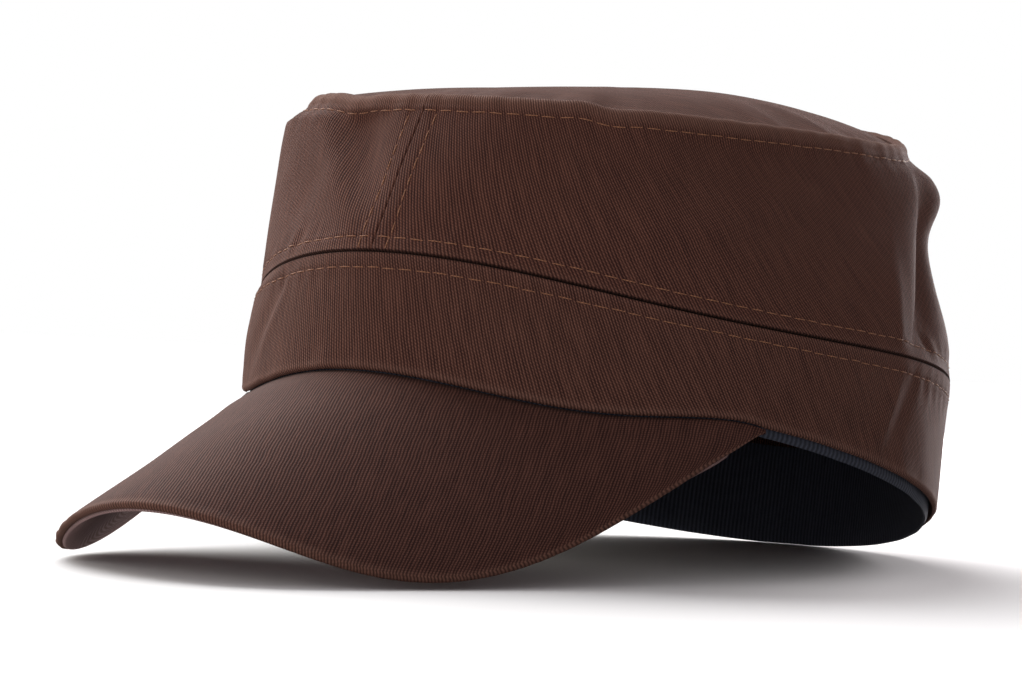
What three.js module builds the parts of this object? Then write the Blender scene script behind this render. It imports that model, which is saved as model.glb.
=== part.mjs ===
// A soft brown field cap: flat top, two-piece side crown, band, peak and sweatband.
//
// The forms are first worked out in the cap's own frame, whose height zero is the seam between crown
// and band. Angles run round the head from the front, 0 degrees, to the wearer's left, 90 degrees, and
// the back, 180 degrees. The cap is then tipped back until it rests on its peak and on the back of its
// sweatband. Millimetres and degrees, front towards -Y, up is +Z.

import * as THREE from 'three';

// The seam between crown and band, an oval round the head.
const seamLength = 210;
const seamWidth = 164;
const seamTuck = 0.038;      // how much narrower the oval is on its diagonals
const seamSideRise = -1.6;   // the seam's height at the ends against the sides
const seamFrontRise = 2.8;   // its rise at the front, and its dip at the back

// The band hangs from the seam down to its hem.
const bandFront = 25.9;
const bandTemple = 24.4;
const bandBack = 31.6;
const bandBow = 6.6;         // how far the hem bows down between front and temple
const bandLean = 17.8;       // how far that bow leans to the front
const bandEarliness = 0.8;   // lower lets the hem drop sooner behind the temples
const bandFlare = 0.8;
const bandWall = 1.8;

// The rim, the crown's upper edge.
const rimLength = 163;
const rimWidth = 131;
const rimTuck = -0.016;
const rimForward = 10.7;
const rimFrontHeight = 38;
const rimBackHeight = 72.7;
const rimSideDrop = 2.6;
const rimRoll = 2.2;         // radius of the rounded edge
const rimLip = 1.2;          // flat width of the edge inside that
const rimLipSink = 0.7;

const crownWall = 1.4;
const crownBulge = 0.7;
const topWall = 1.4;
const topDome = 9;
const topFlatness = 3;       // higher is flatter in the middle and steeper at the rim

// The peak starts under the hem and falls forward.
const peakLength = 76.5;
const peakEndLength = 3;     // its length at the temples, where it disappears under the hem
const peakHalfAngle = 64.7;     // half of the angle that it takes round the head
const peakBluntness = 6;
const peakRounding = 2.13;
const peakFrontAngle = 32.3;
const peakSideAngle = 54.9;
const peakSquareness = 0.85; // how far the board turns square to its cloth
const peakRootShare = 0.2;   // the share of its length over which it turns
const peakSteepest = 0.45;   // the least cosine of the fall that thickens the board along the hem
const peakBunching = 0.35;   // how much closer its columns are towards the temples
const peakBoard = 1.7;
const facingWall = 1;
const facingInset = 1.5;

const sweatWall = 1.3;
const sweatShow = 2.1;       // how far it shows below the hem
const sweatTopDrop = 3;      // how far its upper edge stays below the crown seam
const sweatPress = 0.5;      // how far its lower edge is pressed flat where the cap rests

const seamGap = 0.3;         // between pieces that are sewn to each other

const sewnBelow = 0.15;      // shares of a wall's height over which its folds fade out at its seams
const sewnAbove = 0.1;

// Folds in the crown. foot and top are the angles where a fold would meet the seam and the rim, mid and
// reach are its middle and half length as shares of the wall's height, spread is its half width in
// degrees, and depth is how far it stands out, as a share of foldUnit. Less than zero is a dent.
const foldUnit = 1;
const crownFolds = [
  { foot: -2, top: -18, mid: 0.85, reach: 0.46, spread: 7, depth: -2.6 },
  { foot: -1, top: -29, mid: 0.6, reach: 0.5, spread: 6, depth: 1.5 },
  { foot: -50, top: -50, mid: 1, reach: 0.5, spread: 24, depth: 4.6 },
  { foot: 46, top: 46, mid: 0.42, reach: 0.3, spread: 20, depth: 1.3 },
  { foot: 66, top: 66, mid: 0.86, reach: 0.2, spread: 22, depth: -1.8 },
  { foot: 43, top: 43, mid: 0.74, reach: 0.07, spread: 10, depth: -0.6 },
  { foot: 94, top: 122, mid: 0.5, reach: 0.5, spread: 5, depth: -2.8 },
  { foot: 99, top: 131, mid: 0.84, reach: 0.15, spread: 13, depth: 6.6 },
  { foot: 114, top: 116, mid: 0.2, reach: 0.17, spread: 16, depth: 1.5 },
  { foot: 160, top: 152, mid: 0.5, reach: 0.4, spread: 9, depth: -1.6 },
  { foot: 204, top: 214, mid: 0.55, reach: 0.35, spread: 10, depth: 1.6 },
  { foot: 234, top: 226, mid: 0.5, reach: 0.45, spread: 6, depth: -2.2 },
  { foot: 262, top: 262, mid: 0.62, reach: 0.3, spread: 16, depth: -1.4 },
  { foot: 300, top: 300, mid: 0.35, reach: 0.3, spread: 18, depth: 1.2 },
];

// Creases in the band, with height 0 at the hem and 1 at the crown seam.
const bandCreases = [
  { foot: 84, top: 91, mid: 0.5, reach: 0.4, spread: 2.5, depth: 0.9 },
  { foot: -36, top: -20, mid: 0.6, reach: 0.4, spread: 4, depth: -0.8 },
  { foot: -46, top: -46, mid: 0.6, reach: 0.45, spread: 20, depth: 1.3 },
];

// Small waves in the rim, as the angle and half width in degrees and the rise as a share of foldUnit.
const rimWaves = [
  { at: -45, spread: 25, rise: 2.6 },
  { at: -20, spread: 5, rise: -0.8 },
  { at: 31, spread: 4, rise: 0.5 },
  { at: 38, spread: 4, rise: -0.6 },
  { at: 118, spread: 24, rise: -2.2 },
  { at: 205, spread: 12, rise: 0.7 },
];

// Where the rim is pushed out, as the angle and half width in degrees and a share of foldUnit.
const rimPushes = [
  { at: -50, spread: 26, out: 3.5 },
  { at: 121, spread: 18, out: 1.4 },
];

const ringSteps = 64;
const bandRows = 4;
const crownSteps = 38;
const rollSteps = 3;
const topSteps = 48;
const topRings = 6;
const peakSteps = 32;
const peakRows = 8;
const facingLeftOut = 2;     // columns at each end of the peak that its lower cloth does without
const tiltSteps = 40;

const degree = Math.PI / 180;

function bell(distance, spread) {
  return Math.exp(-((distance / spread) ** 2));
}

function wrap(angle) {
  return angle - 360 * Math.round(angle / 360);
}

function ovalPoint(length, width, tuck, forward, angle) {
  const turn = angle * degree;
  const reach = 1 - (tuck * (1 - Math.cos(4 * turn))) / 2;
  return { x: (width / 2) * Math.sin(turn) * reach, y: -forward - (length / 2) * Math.cos(turn) * reach };
}

function seamPoint(angle, inset = 0) {
  const { x, y } = ovalPoint(seamLength - 2 * inset, seamWidth - 2 * inset, seamTuck, 0, angle);
  const height = seamSideRise * Math.cos(2 * angle * degree) + seamFrontRise * Math.cos(3 * angle * degree);
  return new THREE.Vector3(x, y, height);
}

function bandDrop(angle) {
  const away = Math.abs(wrap(angle));
  if (away <= peakHalfAngle) {
    const share = (away / peakHalfAngle) ** 2;
    const bow = (bandBow + bandLean * (1 - 2 * share)) * share * (1 - share);
    return bandFront + (bandTemple - bandFront) * share ** 2 + bow;
  }
  const share = ((away - peakHalfAngle) / (180 - peakHalfAngle)) ** bandEarliness;
  return bandTemple + ((bandBack - bandTemple) * (1 - Math.cos(Math.PI * share))) / 2;
}

function hemPoint(angle, inset = 0) {
  const out = 2 * (bandFlare - inset);
  const { x, y } = ovalPoint(seamLength + out, seamWidth + out, seamTuck, 0, angle);
  return new THREE.Vector3(x, y, -bandDrop(angle));
}

function rimPoint(angle, inset = 0) {
  const { x, y } = ovalPoint(rimLength - 2 * inset, rimWidth - 2 * inset, rimTuck, rimForward, angle);
  const share = (y + rimForward) / rimLength + 0.5;
  const height = rimFrontHeight + (rimBackHeight - rimFrontHeight) * share;
  const waves = rimWaves.reduce((sum, row) => sum + row.rise * bell(wrap(angle - row.at), row.spread), 0);
  const push = rimPushes.reduce((sum, row) => sum + row.out * bell(wrap(angle - row.at), row.spread), 0);
  const point = new THREE.Vector3(x, y, height + rimSideDrop * Math.cos(2 * angle * degree) + foldUnit * waves);
  return point.addScaledVector(outward(angle), foldUnit * push);
}

// The direction straight out of the head at an angle, level with the ground.
function outward(angle) {
  const turn = angle * degree;
  return new THREE.Vector3(Math.sin(turn) / seamWidth, -Math.cos(turn) / seamLength, 0).normalize();
}

function relief(rows, angle, share) {
  return rows.reduce((sum, row) => {
    const middle = row.foot + (row.top - row.foot) * share;
    return sum + row.depth * bell(wrap(angle - middle), row.spread) * bell(share - row.mid, row.reach);
  }, 0);
}

// The relief fades out where a wall is sewn, slowly from its lower edge and fast below its upper edge.
function sewnFade(share) {
  return THREE.MathUtils.smoothstep(share, 0, sewnBelow) * THREE.MathUtils.smoothstep(1 - share, 0, sewnAbove);
}

function bandPoint(angle, share) {
  const push = foldUnit * relief(bandCreases, angle, share) * sewnFade(share);
  return hemPoint(angle).lerp(seamPoint(angle), share).addScaledVector(outward(angle), push);
}

function crownPoint(angle, share) {
  const edge = rimPoint(angle).add(new THREE.Vector3(0, 0, -rimRoll));
  const bulge = crownBulge * Math.sin(Math.PI * share);
  const push = bulge + foldUnit * relief(crownFolds, angle, share) * sewnFade(share);
  return seamPoint(angle).lerp(edge, share).addScaledVector(outward(angle), push);
}

// Grids of points are lists of columns, and each column is a list of points.
function grid(us, vs, point) {
  return us.map((u) => vs.map((v) => point(u, v)));
}

function spaced(from, to, steps) {
  return Array.from({ length: steps + 1 }, (_, i) => from + ((to - from) * i) / steps);
}

// Angles all round the head, with one at each end of the peak, where the hem has a corner.
function aroundHead(steps) {
  const even = spaced(0, 360, steps).slice(0, steps);
  return even.map((angle) => {
    const end = Math.sign(wrap(angle)) * peakHalfAngle;
    return Math.abs(wrap(angle - end)) <= 180 / steps ? end : angle;
  });
}

// The same grid, moved against its normals by a depth. A ring's last column is next to its first. Rows
// in the level list keep their height, so that a sewn edge is cut level.
function sunk(points, depth, ring, level) {
  const columns = points.length;
  const step = (a, b) => b.clone().sub(a).normalize();
  return points.map((column, i) => column.map((here, j) => {
    const after = points[ring ? (i + 1) % columns : Math.min(i + 1, columns - 1)][j];
    const before = points[ring ? (i + columns - 1) % columns : Math.max(i - 1, 0)][j];
    const above = column[Math.min(j + 1, column.length - 1)];
    const below = column[Math.max(j - 1, 0)];
    const across = step(before, here).add(step(here, after));
    const up = step(below, here).add(step(here, above));
    const moved = here.clone().addScaledVector(across.cross(up).normalize(), -depth);
    return level.includes(j) ? moved.setZ(here.z) : moved;
  }));
}

// A closed wall between two grids of the same size. Seen from outside, the face grid's columns run to
// the right and its points run up.
function wallGeometry(face, back, ring) {
  const columns = face.length;
  const rows = face[0].length;
  const vertices = [...face.flat(), ...back.flat()];
  const indices = [];
  const on = (i, j) => (i % columns) * rows + j;
  const under = (i, j) => columns * rows + on(i, j);
  const quad = (a, b, c, d) => indices.push(a, b, c, a, c, d);
  const last = ring ? columns : columns - 1;
  for (let i = 0; i < last; i += 1) {
    for (let j = 0; j < rows - 1; j += 1) {
      quad(on(i, j), on(i + 1, j), on(i + 1, j + 1), on(i, j + 1));
      quad(under(i, j + 1), under(i + 1, j + 1), under(i + 1, j), under(i, j));
    }
    quad(under(i, 0), under(i + 1, 0), on(i + 1, 0), on(i, 0));
    quad(on(i, rows - 1), on(i + 1, rows - 1), under(i + 1, rows - 1), under(i, rows - 1));
  }
  if (!ring) {
    for (let j = 0; j < rows - 1; j += 1) {
      quad(under(0, j), on(0, j), on(0, j + 1), under(0, j + 1));
      quad(on(last, j), under(last, j), under(last, j + 1), on(last, j + 1));
    }
  }
  return meshGeometry(vertices, indices);
}

function meshGeometry(vertices, indices) {
  const geometry = new THREE.BufferGeometry();
  geometry.setFromPoints(vertices);
  geometry.setIndex(indices);
  geometry.computeVertexNormals();
  return geometry;
}

// The crown's section from the seam up the wall, round the rolled rim and in along its lip.
function crownSection() {
  const wall = [...spaced(0, 0.9, 9), 0.95, 1].map((share) => (angle) => {
    const point = crownPoint(angle, share);
    return share === 0 ? point.add(new THREE.Vector3(0, 0, seamGap / 2)) : point;
  });
  const roll = spaced(0, 90, rollSteps).slice(1).map((turn) => (angle) => {
    const inset = rimRoll * (1 - Math.cos(turn * degree));
    const drop = rimRoll * (1 - Math.sin(turn * degree));
    return rimPoint(angle, inset).add(new THREE.Vector3(0, 0, -drop));
  });
  const lip = (angle) => rimPoint(angle, rimRoll + rimLip).add(new THREE.Vector3(0, 0, -rimLipSink));
  return [...wall, ...roll, lip];
}

// One half of the crown. The wearer's left is side 1 and the right is side -1, and both halves meet
// half a gap from the middle, in the front seam and the back seam.
function crownHalf(side) {
  const angles = side > 0 ? spaced(0, 180, crownSteps) : spaced(180, 360, crownSteps);
  const face = grid(angles, crownSection(), (angle, point) => point(angle));
  const back = sunk(face, crownWall, false, [0]);
  [face, back].forEach((points) => points.forEach((column, i) => column.forEach((point) => {
    const middle = (side * seamGap) / 2;
    const atSeam = i === 0 || i === points.length - 1;
    point.x = atSeam ? middle : side * Math.max(side * point.x, side * middle);
  })));
  return [face, back];
}

// The band, from half a gap under the seam down to the hem.
function bandWalls() {
  const shares = spaced(0, 1, bandRows);
  const face = grid(aroundHead(ringSteps), shares, (angle, share) => {
    const point = bandPoint(angle, share);
    return share === 1 ? point.add(new THREE.Vector3(0, 0, -seamGap / 2)) : point;
  });
  return [face, sunk(face, bandWall, true, [0, shares.length - 1])];
}

// The sweatband lies against the inside of the band. Its lower edge is lower than the hem.
function sweatWalls() {
  const lastRow = 1 - 1 / bandRows;
  const shares = spaced(0, lastRow, bandRows - 1);
  const lines = aroundHead(ringSteps).map((angle) => {
    const foot = hemPoint(angle).add(new THREE.Vector3(0, 0, -sweatShow));
    const belowSeam = sweatTopDrop / (bandDrop(angle) * (1 - lastRow));
    const top = seamPoint(angle).lerp(bandPoint(angle, lastRow), belowSeam);
    return [foot, ...shares.map((share) => bandPoint(angle, share)), top];
  });
  const inset = bandWall + seamGap;
  const edges = [0, lines[0].length - 1];
  return [sunk(lines, inset, true, edges), sunk(lines, inset + sweatWall, true, edges)];
}

function peakReach(share) {
  const fullness = (1 - Math.abs(share) ** peakBluntness) ** peakRounding;
  return peakEndLength + (peakLength - peakEndLength) * fullness;
}

function peakFall(share) {
  return (peakFrontAngle + (peakSideAngle - peakFrontAngle) * share ** 2) * degree;
}

// A point of the peak. share runs from -1 to 1 across it, along is the distance from the hem, depth is
// measured down from the upper cloth. Along the hem the depth is straight down, and further out it
// turns square to the cloth.
function peakPoint(share, along, depth) {
  const fall = peakFall(share);
  const reach = peakReach(share);
  const part = along / reach;
  const forward = new THREE.Vector3(0, -Math.cos(fall), -Math.sin(fall));
  const square = new THREE.Vector3(0, Math.sin(fall), -Math.cos(fall));
  const straight = new THREE.Vector3(0, 0, -1 / Math.max(Math.cos(fall), peakSteepest));
  const turned = THREE.MathUtils.smoothstep(part, 0, peakRootShare) * peakSquareness;
  return hemPoint(share * peakHalfAngle)
    .add(new THREE.Vector3(0, 0, -seamGap))
    .addScaledVector(forward, along)
    .addScaledVector(straight.lerp(square, turned), depth);
}

// The peak's root lies flat under the band's wall, so that the hem covers it.
function peakRoot(share, depth) {
  return hemPoint(share * peakHalfAngle, bandWall).add(new THREE.Vector3(0, 0, -seamGap - depth));
}

function peakColumn(share, inset, depth, parts) {
  const fullness = (peakReach(share) - peakEndLength) / (peakLength - peakEndLength);
  const reach = peakReach(share) - inset * fullness;
  const drop = depth / Math.max(Math.cos(peakFall(share)), peakSteepest);
  return [peakRoot(share, drop), ...parts.map((part) => peakPoint(share, part * reach, depth))];
}

// Both layers of the peak have the same columns, closer together towards the temples. The lower layer
// leaves out some at each end, and stops short of the edge by its inset.
function peakWalls(leftOut, inset, upper, lower) {
  const bunched = (even) => peakBunching * Math.sin((even * Math.PI) / 2) + (1 - peakBunching) * even;
  const shares = spaced(-1, 1, peakSteps).map(bunched);
  const used = shares.slice(leftOut, shares.length - leftOut);
  const parts = spaced(0, 1, peakRows);
  const surface = (depth) => used.map((share) => peakColumn(share, inset, depth, parts));
  return [surface(lower), surface(upper)];
}

// The top is a domed disc: rings round the head that shrink to one point in the middle.
function topPoint(angle, share, depth) {
  const inset = rimRoll + rimLip + seamGap;
  const edge = rimPoint(angle, inset);
  const middleHeight = (rimFrontHeight + rimBackHeight) / 2;
  const middle = new THREE.Vector3(0, -rimForward, middleHeight);
  const sideDrop = rimSideDrop * Math.cos(2 * angle * degree) * (share - share ** 2);
  const height = topDome * (1 - share ** topFlatness) - sideDrop - rimLipSink - depth;
  return middle.lerp(edge, share).add(new THREE.Vector3(0, 0, height));
}

function topWalls() {
  const angles = aroundHead(topSteps);
  const shares = spaced(1, 0, topRings).slice(0, topRings);
  return [0, topWall].map((depth) => ({
    rings: grid(angles, shares, (angle, share) => topPoint(angle, share, depth)),
    middle: topPoint(0, 0, depth),
  }));
}

function topGeometry(face, back) {
  const columns = face.rings.length;
  const rows = face.rings[0].length;
  const vertices = [...face.rings.flat(), ...back.rings.flat(), face.middle, back.middle];
  const centre = 2 * columns * rows;
  const on = (i, j) => (i % columns) * rows + j;
  const under = (i, j) => columns * rows + on(i, j);
  const indices = [];
  const quad = (a, b, c, d) => indices.push(a, b, c, a, c, d);
  for (let i = 0; i < columns; i += 1) {
    for (let j = 0; j < rows - 1; j += 1) {
      quad(on(i, j), on(i + 1, j), on(i + 1, j + 1), on(i, j + 1));
      quad(under(i, j + 1), under(i + 1, j + 1), under(i + 1, j), under(i, j));
    }
    quad(under(i, 0), under(i + 1, 0), on(i + 1, 0), on(i, 0));
    indices.push(on(i, rows - 1), on(i + 1, rows - 1), centre);
    indices.push(under(i + 1, rows - 1), under(i, rows - 1), centre + 1);
  }
  return meshGeometry(vertices, indices);
}

// How the cap rests. Tipping it back by the right angle brings the peak's lowest points level with the
// sweatband's lowest edge, which the cap's weight presses flat.
function tipped(point, tilt) {
  return point.clone().applyAxisAngle(new THREE.Vector3(1, 0, 0), -tilt * degree);
}

function lowest(points, tilt) {
  return Math.min(...points.map((point) => tipped(point, tilt).z));
}

function restingTilt(peakPoints, sweatPoints) {
  let low = 0;
  let high = 45;
  for (let i = 0; i < tiltSteps; i += 1) {
    const tilt = (low + high) / 2;
    const peakIsLower = lowest(peakPoints, tilt) < lowest(sweatPoints, tilt) + sweatPress;
    if (peakIsLower) low = tilt;
    else high = tilt;
  }
  return low;
}

const peakWhole = peakWalls(0, 0, 0, peakBoard);
const facingTop = peakBoard + seamGap;
const facing = peakWalls(facingLeftOut, facingInset, facingTop, facingTop + facingWall);
const sweat = sweatWalls();
const tilt = restingTilt([...peakWhole, ...facing].flat(2), sweat.flat(2));
const lift = -lowest([...peakWhole, ...facing].flat(2), tilt);

function settle(point) {
  const { x, y, z } = tipped(point, tilt);
  return new THREE.Vector3(x, y, Math.max(z + lift, 0));
}

function settleAll(walls) {
  return walls.map((points) => points.map((column) => column.map(settle)));
}

const twill = new THREE.MeshStandardMaterial({ color: 0x5b3c35, roughness: 0.9, metalness: 0 });
const facingTwill = new THREE.MeshStandardMaterial({ color: 0x5b3c35, roughness: 0.9, metalness: 0 });
const blackTape = new THREE.MeshStandardMaterial({ color: 0x1d1f26, roughness: 0.85, metalness: 0 });

function piece(name, geometry, material) {
  const mesh = new THREE.Mesh(geometry, material);
  mesh.name = name;
  return mesh;
}

function wallPiece(name, walls, ring, material) {
  const [face, back] = settleAll(walls);
  return piece(name, wallGeometry(face, back, ring), material);
}

function topPiece() {
  const [face, back] = topWalls().map(({ rings, middle }) => ({
    rings: rings.map((column) => column.map(settle)),
    middle: settle(middle),
  }));
  return piece('top_panel', topGeometry(face, back), twill);
}

const cap = new THREE.Group();
cap.add(topPiece());
cap.add(wallPiece('crown_left', crownHalf(1), false, twill));
cap.add(wallPiece('crown_right', crownHalf(-1), false, twill));
cap.add(wallPiece('band', bandWalls(), true, twill));
cap.add(wallPiece('sweatband', sweat, true, blackTape));
cap.add(wallPiece('peak_top', peakWhole, false, twill));
cap.add(wallPiece('peak_underside', facing, false, facingTwill));

// The origin is on the ground, under the middle of the whole cap.
const middle = new THREE.Box3().setFromObject(cap).getCenter(new THREE.Vector3());
cap.position.set(-middle.x, -middle.y, 0);

export default cap;
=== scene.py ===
# %% [markdown]
# # A soft field cap in brown cotton twill
#
# The cap is sewn from a flat top, two curved halves of a side crown, a band, a peak with a board inside
# it, and a black sweatband. It lies on a pale table, tipped back a little on its peak and sweatband.
# This lesson dresses the plain CAD solids of the cap: every cloth piece is built again as a fine mesh
# with its seams, stitches, folds and weave, in the same place as its solid.

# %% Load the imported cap
import math

import bpy
import numpy as np
from mathutils import Matrix, Vector


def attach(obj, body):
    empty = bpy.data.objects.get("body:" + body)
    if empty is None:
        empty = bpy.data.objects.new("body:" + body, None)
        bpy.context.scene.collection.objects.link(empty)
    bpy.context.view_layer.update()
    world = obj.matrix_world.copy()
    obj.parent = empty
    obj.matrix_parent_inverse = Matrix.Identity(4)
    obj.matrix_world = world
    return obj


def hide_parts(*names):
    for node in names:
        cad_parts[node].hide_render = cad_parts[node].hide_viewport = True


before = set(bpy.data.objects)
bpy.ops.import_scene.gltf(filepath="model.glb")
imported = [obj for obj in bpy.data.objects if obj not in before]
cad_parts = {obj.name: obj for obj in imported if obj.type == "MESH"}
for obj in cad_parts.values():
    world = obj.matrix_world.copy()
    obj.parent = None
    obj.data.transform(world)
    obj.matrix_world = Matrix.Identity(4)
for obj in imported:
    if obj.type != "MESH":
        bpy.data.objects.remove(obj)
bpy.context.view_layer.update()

MM = 0.001
print("nodes:", sorted(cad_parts))

# %% [markdown]
# ## The cap's own frame
#
# A hat is easiest to describe before it is put down: the seam between crown and band is level, angle 0
# is the front, 90 degrees is the wearer's left and 180 degrees is the back. Every form below is worked
# out in that frame in millimetres, as arrays of points, and then tipped back and set on the table in
# one step, so that all the pieces rest together.

# %% Put points of the cap's own frame on the table
def joined(*parts):
    return np.stack(parts, axis=-1)


REST_TILT = math.radians(10.213331221311819)
REST_LIFT = 51.05343655559191
REST_SHIFT = 38.53633117675781


def turned(points):
    """Tip points or directions back by the resting tilt."""
    x, y, z = np.moveaxis(np.asarray(points, float), -1, 0)
    back = y * math.cos(REST_TILT) + z * math.sin(REST_TILT)
    up = z * math.cos(REST_TILT) - y * math.sin(REST_TILT)
    return joined(x, back, up)


def settled(points):
    """Points in metres on the table. Nothing goes below the table's face."""
    rest = turned(points) + (0, REST_SHIFT, REST_LIFT)
    rest[..., 2] = np.maximum(rest[..., 2], 0)
    return rest * MM


print("middle of the crown seam on the table:", settled((0, 0, 0)))

# %% [markdown]
# ## The lines of the pattern
#
# A cap is cut from a few ovals: the seam round the head, the hem below it and the smaller rim above it,
# which rises to the back. Each line is one short formula of the angle, so a piece that is drawn between
# two lines meets its neighbours exactly.

# %% Helpers for smooth curves
def bell(distance, spread):
    return np.exp(-((distance / spread) ** 2))


def wrapped(angle):
    return angle - 360 * np.round(angle / 360)


def smooth(value, low, high):
    share = np.clip((value - low) / (high - low), 0, 1)
    return share * share * (3 - 2 * share)


def lerp(first, second, share):
    return first + (second - first) * np.asarray(share)[..., None]


def unit(vectors):
    length = np.linalg.norm(vectors, axis=-1, keepdims=True)
    upright = np.arange(vectors.shape[-1]) == vectors.shape[-1] - 1
    return np.where(length > 1e-9, vectors / np.maximum(length, 1e-9), 1.0 * upright)


def arc_length(line):
    """How far along a line of points each of them lies."""
    return np.concatenate(([0], np.cumsum(np.linalg.norm(np.diff(line, axis=0), axis=1))))


def oval(length, width, tuck, forward, angle):
    turn = np.radians(angle)
    reach = 1 - tuck * (1 - np.cos(4 * turn)) / 2
    return width / 2 * np.sin(turn) * reach, -forward - length / 2 * np.cos(turn) * reach


print("half way from 0 to 1:", smooth(0.5, 0, 1))

# %% The seam, the hem and the rim
# lengths in mm, angles in degrees. A wave or push of the rim is its place, its spread and its size
SEAM_LENGTH, SEAM_WIDTH, SEAM_TUCK = 210, 164, 0.038
SEAM_SADDLE, SEAM_RIPPLE = -1.6, 2.8
MEAN_RADIUS = (SEAM_LENGTH + SEAM_WIDTH) / 4
RIM_LENGTH, RIM_WIDTH, RIM_TUCK, RIM_FORWARD = 163, 131, -0.016, 10.7
RIM_FRONT, RIM_BACK, RIM_SIDE_DROP = 38, 72.7, 2.6
RIM_ROLL, RIM_LIP, LIP_SINK = 2.2, 1.2, 0.7
PEAK_SPREAD = 64.7
BAND_FLARE = 0.8
FRONT_DROP, CORNER_DROP = 25.9, 24.4
CORNER_LESS, BACK_MORE = 1.5, 7.2
HEM_BOW, HEM_SKEW = 6.6, 17.8
RIM_WAVES = ((-45, 25, 2.6), (-20, 5, -0.8), (31, 4, 0.5), (38, 4, -0.6), (118, 24, -2.2), (205, 12, 0.7))
RIM_PUSHES = ((-50, 26, 3.5), (121, 18, 1.4))


def seam_line(angle):
    x, y = oval(SEAM_LENGTH, SEAM_WIDTH, SEAM_TUCK, 0, angle)
    turn = np.radians(angle)
    return joined(x, y, SEAM_SADDLE * np.cos(2 * turn) + SEAM_RIPPLE * np.cos(3 * turn))


def band_drop(angle):
    """The band's height, which is bowed over the peak and grows towards the back."""
    away = np.abs(wrapped(angle))
    front = np.clip(away / PEAK_SPREAD, 0, 1) ** 2
    bow = (HEM_BOW + HEM_SKEW * (1 - 2 * front)) * front * (1 - front)
    bowed = FRONT_DROP - CORNER_LESS * front ** 2 + bow
    behind = np.clip((away - PEAK_SPREAD) / (180 - PEAK_SPREAD), 0, 1) ** 0.8
    fall = CORNER_DROP + BACK_MORE * (1 - np.cos(np.pi * behind)) / 2
    return np.where(away <= PEAK_SPREAD, bowed, fall)


def hem_line(angle, inset=0.0):
    out = 2 * (BAND_FLARE - inset)
    x, y = oval(SEAM_LENGTH + out, SEAM_WIDTH + out, SEAM_TUCK, 0, angle)
    return joined(x, y, -band_drop(angle))


def outward(angle):
    turn = np.radians(angle)
    across = joined(np.sin(turn) / SEAM_WIDTH, -np.cos(turn) / SEAM_LENGTH, 0 * turn)
    return unit(across)


def bumps(rows, angle):
    return sum(size * bell(wrapped(angle - at), spread) for at, spread, size in rows)


def rim_line(angle, inset=0.0):
    x, y = oval(RIM_LENGTH - 2 * inset, RIM_WIDTH - 2 * inset, RIM_TUCK, RIM_FORWARD, angle)
    height = RIM_FRONT + (RIM_BACK - RIM_FRONT) * ((y + RIM_FORWARD) / RIM_LENGTH + 0.5)
    height = height + RIM_SIDE_DROP * np.cos(2 * np.radians(angle)) + bumps(RIM_WAVES, angle)
    push = np.asarray(bumps(RIM_PUSHES, angle))[..., None]
    return joined(x, y, height) + outward(angle) * push


print("hem at the front:", hem_line(np.array(0.0)).round(1), " rim:", rim_line(np.array(0.0)).round(1))

# %% [markdown]
# ## Folds
#
# Nothing inside holds this crown up, so it slumps into soft folds. One fold is a long bump: a bell
# curve across it and another along it, between a foot on the seam and a top on the rim. The big folds
# and the band's creases are the same as in the solids. The small ones are only here, because they are
# too fine for a solid, and so are two folds with one sharp flank, where the cloth doubles over.

# %% Big folds, shared with the solids, and the small ones
# foot and top in degrees, middle and reach as shares of the height, spread in degrees, depth in mm,
# which is more than 0 for a bulge. A fold with a sharp flank has two spreads, before and after its crest
BIG_FOLDS = (
    (-2, -18, 0.85, 0.46, 7, -2.6), (-1, -29, 0.6, 0.5, 6, 1.5), (-50, -50, 1, 0.5, 24, 4.6),
    (46, 46, 0.42, 0.3, 20, 1.3), (66, 66, 0.86, 0.2, 22, -1.8), (43, 43, 0.74, 0.07, 10, -0.6),
    (94, 122, 0.5, 0.5, 5, -2.8), (99, 131, 0.84, 0.15, 13, 6.6), (114, 116, 0.2, 0.17, 16, 1.5),
    (160, 152, 0.5, 0.4, 9, -1.6), (204, 214, 0.55, 0.35, 10, 1.6), (234, 226, 0.5, 0.45, 6, -2.2),
    (262, 262, 0.62, 0.3, 16, -1.4), (300, 300, 0.35, 0.3, 18, 1.2),
)
SMALL_FOLDS = (
    (-2, -27, 0.62, 0.35, 3, 0.5), (0, -16, 0.66, 0.3, 4, -0.8), (-8, -48, 0.55, 0.4, 5, -0.5),
    (24, 92, 0.55, 0.3, 6, 0.5), (30, 98, 0.6, 0.25, 5, -0.45),
    (100, 112, 0.3, 0.2, 3.5, -0.5), (108, 122, 0.45, 0.25, 3.5, 0.5), (140, 134, 0.4, 0.3, 5, 0.6),
    (172, 168, 0.55, 0.3, 5, 0.5), (193, 190, 0.45, 0.3, 6, -0.5), (228, 218, 0.5, 0.35, 2.5, 0.6),
    (276, 268, 0.4, 0.3, 5, 0.4), (318, 330, 0.6, 0.3, 6, 0.5), (330, 344, 0.45, 0.25, 4, -0.35),
    (90, 114, 0.5, 0.6, 10, 2.2, 1.9), (87, 100, 0.2, 0.3, 7, 2.0, 0.7),
)
BAND_CREASES = ((84, 91, 0.5, 0.4, 2.5, 0.9), (-36, -20, 0.6, 0.4, 4, -0.8),
                (-46, -46, 0.6, 0.45, 20, 1.3))
SMALL_CREASES = (
    (87, 94, 0.5, 0.35, 1.8, -0.5), (100, 96, 0.4, 0.35, 4, 0.35), (-31, -17, 0.55, 0.35, 2.2, 0.4),
    (140, 137, 0.5, 0.4, 4, -0.4), (216, 222, 0.5, 0.4, 3, 0.5), (262, 258, 0.5, 0.4, 4, -0.4),
)


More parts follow.
